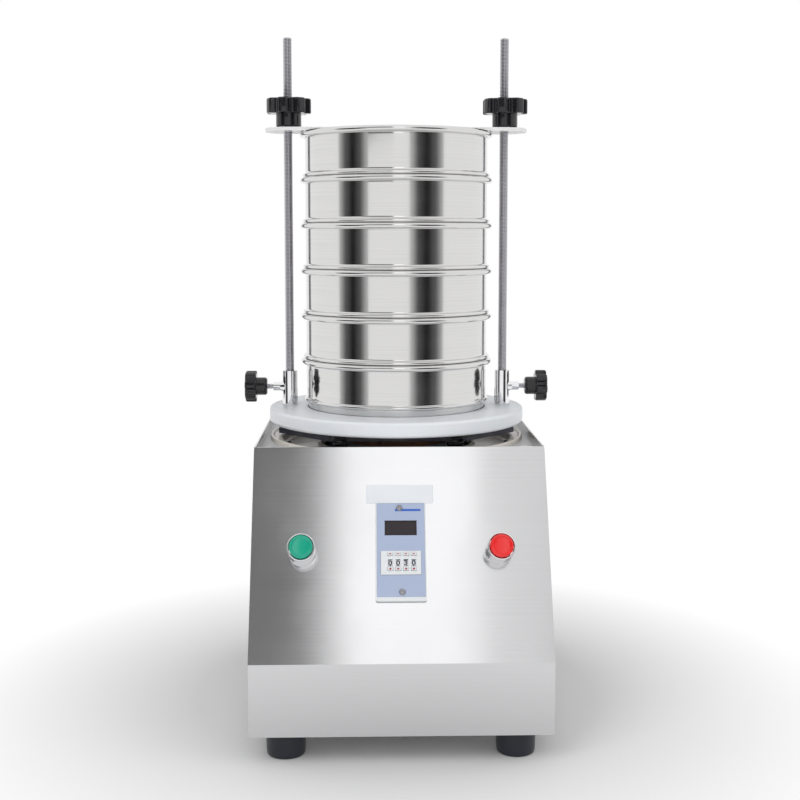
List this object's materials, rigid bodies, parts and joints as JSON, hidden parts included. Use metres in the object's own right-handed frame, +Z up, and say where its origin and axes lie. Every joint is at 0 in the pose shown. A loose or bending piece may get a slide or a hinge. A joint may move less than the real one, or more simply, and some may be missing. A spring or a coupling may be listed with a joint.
{
  "type": "sieve shaker",
  "caption": "Bench sieve shaker: sprung round table on a sloped steel case, with a stack of test sieves and a pan held down by a bar and star knobs on threaded rods.",
  "frame": {"origin": "centre of the whole part's footprint, on the floor under the feet", "axes": "+Z up, +X to the right seen from the front, the sloped control panel faces -Y"},
  "size_m": [0.34, 0.403, 0.727],
  "materials": {
    "case_steel": "brushed stainless sheet",
    "sieve_steel": "polished stainless",
    "mesh_steel": "woven stainless wire",
    "chrome": "polished chrome",
    "zinc_steel": "bright zinc-plated fasteners and threaded rod",
    "black_screws": "blackened steel",
    "plate_white": "milky white engineering plastic",
    "bar_white": "white plastic",
    "plate_dark": "navy-black paint",
    "pan_cream": "cream enamel",
    "knob_black": "black phenolic",
    "rubber_black": "moulded rubber",
    "spring_black": "blackened spring steel",
    "button_green": "green cap",
    "button_red": "red cap",
    "timer_white": "white moulded plastic",
    "timer_blue": "blue-grey face",
    "timer_dark": "smoked window",
    "winding_brown": "varnished windings",
    "motor_grey": "cast, painted",
    "bearing_steel": "ground steel",
    "weight_iron": "cast",
    "black_plastic": "moulded"
  },
  "bodies": {
    "base": {"base_plate": "case_steel", "front_panel": "case_steel", "side_panels": "case_steel", "back_panel": "case_steel", "top_deck": "case_steel", "spring_pan": "pan_cream", "rubber_feet": "rubber_black", "case_fasteners": "zinc_steel", "suspension_springs": "spring_black", "button_bezels": "chrome", "timer_housing": "timer_white", "timer_face": "timer_blue", "timer_window": "timer_dark", "thumbwheel_frame": "timer_white", "cable_gland": "black_plastic", "contactor": "black_plastic"},
    "table": {"table_plate": "plate_white", "motor_plate": "plate_dark", "table_bolts": "zinc_steel", "rod_sleeves": "chrome", "motor_windings": "winding_brown", "motor_body": "motor_grey", "motor_end_covers": "motor_grey", "motor_bearings": "bearing_steel"},
    "rotor": {"motor_shaft": "bearing_steel", "eccentric_weights": "weight_iron"},
    "left_rod": {"left_rod": "zinc_steel"},
    "right_rod": {"right_rod": "zinc_steel"},
    "left_clamp_stud": {"left_clamp_stud": "zinc_steel"},
    "left_clamp_knob": {"left_clamp_knob": "knob_black"},
    "right_clamp_stud": {"right_clamp_stud": "zinc_steel"},
    "right_clamp_knob": {"right_clamp_knob": "knob_black"},
    "receiving_pan": {"receiving_pan": "sieve_steel"},
    "sieve_1": {"sieve_1_frame": "sieve_steel", "sieve_1_mesh": "mesh_steel"},
    "sieve_2": {"sieve_2_frame": "sieve_steel", "sieve_2_mesh": "mesh_steel"},
    "sieve_3": {"sieve_3_frame": "sieve_steel", "sieve_3_mesh": "mesh_steel"},
    "sieve_4": {"sieve_4_frame": "sieve_steel", "sieve_4_mesh": "mesh_steel"},
    "sieve_5": {"sieve_5_frame": "sieve_steel", "sieve_5_mesh": "mesh_steel"},
    "hold_down_bar": {"hold_down_bar": "bar_white"},
    "left_star_knob": {"left_star_knob": "knob_black"},
    "right_star_knob": {"right_star_knob": "knob_black"},
    "start_button": {"start_button": "button_green"},
    "stop_button": {"stop_button": "button_red"},
    "digit_wheel_1": {"digit_wheel_1": "timer_white"},
    "minus_pusher_1": {"minus_pusher_1": "timer_white"},
    "plus_pusher_1": {"plus_pusher_1": "timer_white"},
    "digit_wheel_2": {"digit_wheel_2": "timer_white"},
    "minus_pusher_2": {"minus_pusher_2": "timer_white"},
    "plus_pusher_2": {"plus_pusher_2": "timer_white"},
    "digit_wheel_3": {"digit_wheel_3": "timer_white"},
    "minus_pusher_3": {"minus_pusher_3": "timer_white"},
    "plus_pusher_3": {"plus_pusher_3": "timer_white"},
    "digit_wheel_4": {"digit_wheel_4": "timer_white"},
    "minus_pusher_4": {"minus_pusher_4": "timer_white"},
    "plus_pusher_4": {"plus_pusher_4": "timer_white"}
  },
  "joints": [
    {"name": "table_bounce", "type": "slide", "parent": "base", "child": "table", "axis": [0, 0, 1], "range_m": [-0.003, 0.003], "stiffness_N_per_m": 60000, "springref_m": 0.00203, "deforming": ["suspension_springs"]},
    {"name": "rotor_spin", "type": "hinge", "parent": "table", "child": "rotor", "pos_m": [0, 0.0395, 0.2], "axis": [0, 0, 1], "continuous": true},
    {"name": "left_rod_height", "type": "slide", "parent": "table", "child": "left_rod", "axis": [0, 0, 1], "range_m": [0, 0.03]},
    {"name": "left_clamp_travel", "type": "slide", "parent": "table", "child": "left_clamp_stud", "axis": [-1, 0, 0], "range_m": [0, 0.003]},
    {"name": "left_clamp_turn", "type": "hinge", "parent": "left_clamp_stud", "child": "left_clamp_knob", "pos_m": [-0.12, 0.0395, 0.341], "axis": [-1, 0, 0], "range_deg": [0, 1081]},
    {"name": "right_rod_height", "type": "slide", "parent": "table", "child": "right_rod", "axis": [0, 0, 1], "range_m": [0, 0.03]},
    {"name": "right_clamp_travel", "type": "slide", "parent": "table", "child": "right_clamp_stud", "axis": [1, 0, 0], "range_m": [0, 0.003]},
    {"name": "right_clamp_turn", "type": "hinge", "parent": "right_clamp_stud", "child": "right_clamp_knob", "pos_m": [0.12, 0.0395, 0.341], "axis": [1, 0, 0], "range_deg": [0, 1081]},
    {"name": "receiving_pan_lift", "type": "slide", "parent": "table", "child": "receiving_pan", "axis": [0, 0, 1], "range_m": [0, 0.025]},
    {"name": "sieve_5_lift", "type": "slide", "parent": "receiving_pan", "child": "sieve_5", "axis": [0, 0, 1], "range_m": [0, 0.025]},
    {"name": "sieve_4_lift", "type": "slide", "parent": "sieve_5", "child": "sieve_4", "axis": [0, 0, 1], "range_m": [0, 0.025]},
    {"name": "sieve_3_lift", "type": "slide", "parent": "sieve_4", "child": "sieve_3", "axis": [0, 0, 1], "range_m": [0, 0.025]},
    {"name": "sieve_2_lift", "type": "slide", "parent": "sieve_3", "child": "sieve_2", "axis": [0, 0, 1], "range_m": [0, 0.025]},
    {"name": "sieve_1_lift", "type": "slide", "parent": "sieve_2", "child": "sieve_1", "axis": [0, 0, 1], "range_m": [0, 0.025]},
    {"name": "bar_lift", "type": "slide", "parent": "sieve_1", "child": "hold_down_bar", "axis": [0, 0, 1], "range_m": [0, 0.066]},
    {"name": "left_star_turn", "type": "hinge", "parent": "hold_down_bar", "child": "left_star_knob", "pos_m": [-0.12, 0.0395, 0.64], "axis": [0, 0, 1], "range_deg": [0, 15842]},
    {"name": "right_star_turn", "type": "hinge", "parent": "hold_down_bar", "child": "right_star_knob", "pos_m": [0.12, 0.0395, 0.64], "axis": [0, 0, 1], "range_deg": [0, 15842]},
    {"name": "start_press", "type": "slide", "parent": "base", "child": "start_button", "axis": [0, 0.9026, -0.4305], "range_m": [0, 0.004], "stiffness_N_per_m": 500, "springref_m": -0.001},
    {"name": "stop_press", "type": "slide", "parent": "base", "child": "stop_button", "axis": [0, 0.9026, -0.4305], "range_m": [0, 0.004], "stiffness_N_per_m": 500, "springref_m": -0.001},
    {"name": "digit_1_turn", "type": "hinge", "parent": "base", "child": "digit_wheel_1", "pos_m": [-0.0106, -0.15732, 0.18689], "axis": [1, 0, 0], "continuous": true},
    {"name": "minus_1_press", "type": "slide", "parent": "base", "child": "minus_pusher_1", "axis": [0, 0.9026, -0.4305], "range_m": [0, 0.0012], "stiffness_N_per_m": 300, "springref_m": -0.0004},
    {"name": "plus_1_press", "type": "slide", "parent": "base", "child": "plus_pusher_1", "axis": [0, 0.9026, -0.4305], "range_m": [0, 0.0012], "stiffness_N_per_m": 300, "springref_m": -0.0004},
    {"name": "digit_2_turn", "type": "hinge", "parent": "base", "child": "digit_wheel_2", "pos_m": [-0.0029, -0.15732, 0.18689], "axis": [1, 0, 0], "continuous": true},
    {"name": "minus_2_press", "type": "slide", "parent": "base", "child": "minus_pusher_2", "axis": [0, 0.9026, -0.4305], "range_m": [0, 0.0012], "stiffness_N_per_m": 300, "springref_m": -0.0004},
    {"name": "plus_2_press", "type": "slide", "parent": "base", "child": "plus_pusher_2", "axis": [0, 0.9026, -0.4305], "range_m": [0, 0.0012], "stiffness_N_per_m": 300, "springref_m": -0.0004},
    {"name": "digit_3_turn", "type": "hinge", "parent": "base", "child": "digit_wheel_3", "pos_m": [0.0048, -0.15732, 0.18689], "axis": [1, 0, 0], "continuous": true},
    {"name": "minus_3_press", "type": "slide", "parent": "base", "child": "minus_pusher_3", "axis": [0, 0.9026, -0.4305], "range_m": [0, 0.0012], "stiffness_N_per_m": 300, "springref_m": -0.0004},
    {"name": "plus_3_press", "type": "slide", "parent": "base", "child": "plus_pusher_3", "axis": [0, 0.9026, -0.4305], "range_m": [0, 0.0012], "stiffness_N_per_m": 300, "springref_m": -0.0004},
    {"name": "digit_4_turn", "type": "hinge", "parent": "base", "child": "digit_wheel_4", "pos_m": [0.0125, -0.15732, 0.18689], "axis": [1, 0, 0], "continuous": true},
    {"name": "minus_4_press", "type": "slide", "parent": "base", "child": "minus_pusher_4", "axis": [0, 0.9026, -0.4305], "range_m": [0, 0.0012], "stiffness_N_per_m": 300, "springref_m": -0.0004},
    {"name": "plus_4_press", "type": "slide", "parent": "base", "child": "plus_pusher_4", "axis": [0, 0.9026, -0.4305], "range_m": [0, 0.0012], "stiffness_N_per_m": 300, "springref_m": -0.0004}
  ],
  "couplings": [
    {"joint": "left_clamp_turn", "follows": "left_clamp_travel", "rad_per_m": 6283.2},
    {"joint": "right_clamp_turn", "follows": "right_clamp_travel", "rad_per_m": 6283.2},
    {"joint": "left_star_turn", "follows": "bar_lift", "rad_per_m": 4188.8},
    {"joint": "right_star_turn", "follows": "bar_lift", "rad_per_m": 4188.8}
  ]
}
